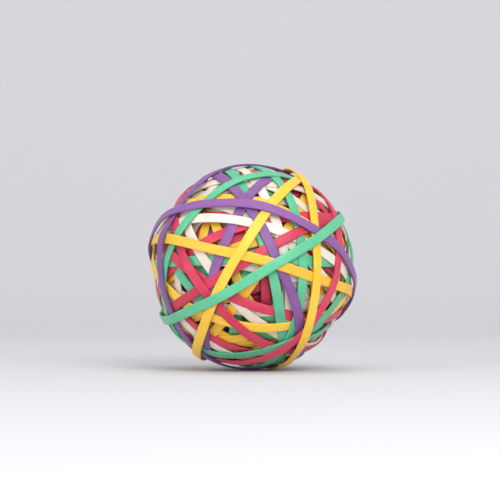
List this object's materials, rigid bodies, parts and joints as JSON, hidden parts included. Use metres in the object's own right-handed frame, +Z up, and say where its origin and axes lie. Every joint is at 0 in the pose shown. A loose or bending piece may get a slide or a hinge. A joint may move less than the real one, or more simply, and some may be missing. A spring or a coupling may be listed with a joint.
{
  "type": "rubber band ball",
  "caption": "Ball wound from flat rubber bands in several colours, crossing one another all over its surface.",
  "frame": {"origin": "middle of the ball", "axes": "-Y out of the side seen first, +Z up, +X to the right of it; the ball has no true top or front"},
  "size_m": [0.069, 0.0695, 0.068],
  "materials": {
    "mint_rubber": "matte mint green natural rubber, lightly powdered",
    "yellow_rubber": "matte golden yellow natural rubber, lightly powdered",
    "purple_rubber": "matte purple natural rubber, lightly powdered",
    "crimson_rubber": "matte crimson natural rubber, lightly powdered",
    "white_rubber": "matte off-white natural rubber, lightly powdered"
  },
  "bodies": {
    "root": {"inner_bands": "white_rubber", "mint_band_1": "mint_rubber", "purple_band_2": "purple_rubber", "yellow_band_3": "yellow_rubber", "yellow_band_4": "yellow_rubber", "purple_band_5": "purple_rubber", "crimson_band_6": "crimson_rubber", "yellow_band_7": "yellow_rubber", "mint_band_8": "mint_rubber", "mint_band_9": "mint_rubber", "purple_band_10": "purple_rubber", "crimson_band_11": "crimson_rubber", "crimson_band_12": "crimson_rubber", "mint_band_13": "mint_rubber", "white_band_14": "white_rubber", "yellow_band_15": "yellow_rubber", "purple_band_16": "purple_rubber", "yellow_band_17": "yellow_rubber", "mint_band_18": "mint_rubber", "crimson_band_19": "crimson_rubber", "white_band_20": "white_rubber", "mint_band_21": "mint_rubber", "white_band_22": "white_rubber", "white_band_23": "white_rubber", "crimson_band_24": "crimson_rubber", "white_band_25": "white_rubber", "white_band_26": "white_rubber", "mint_band_27": "mint_rubber", "white_band_28": "white_rubber", "crimson_band_29": "crimson_rubber", "white_band_30": "white_rubber", "crimson_band_31": "crimson_rubber", "yellow_band_32": "yellow_rubber", "yellow_band_33": "yellow_rubber", "white_band_34": "white_rubber", "yellow_band_35": "yellow_rubber", "white_band_36": "white_rubber", "crimson_band_37": "crimson_rubber", "yellow_band_38": "yellow_rubber", "mint_band_39": "mint_rubber", "white_band_40": "white_rubber", "yellow_band_41": "yellow_rubber", "white_band_42": "white_rubber", "crimson_band_43": "crimson_rubber", "yellow_band_44": "yellow_rubber", "mint_band_45": "mint_rubber", "white_band_46": "white_rubber", "yellow_band_47": "yellow_rubber", "white_band_48": "white_rubber", "crimson_band_49": "crimson_rubber", "yellow_band_50": "yellow_rubber", "mint_band_51": "mint_rubber", "white_band_52": "white_rubber", "yellow_band_53": "yellow_rubber", "white_band_54": "white_rubber", "crimson_band_55": "crimson_rubber", "yellow_band_56": "yellow_rubber"}
  },
  "joints": []
}
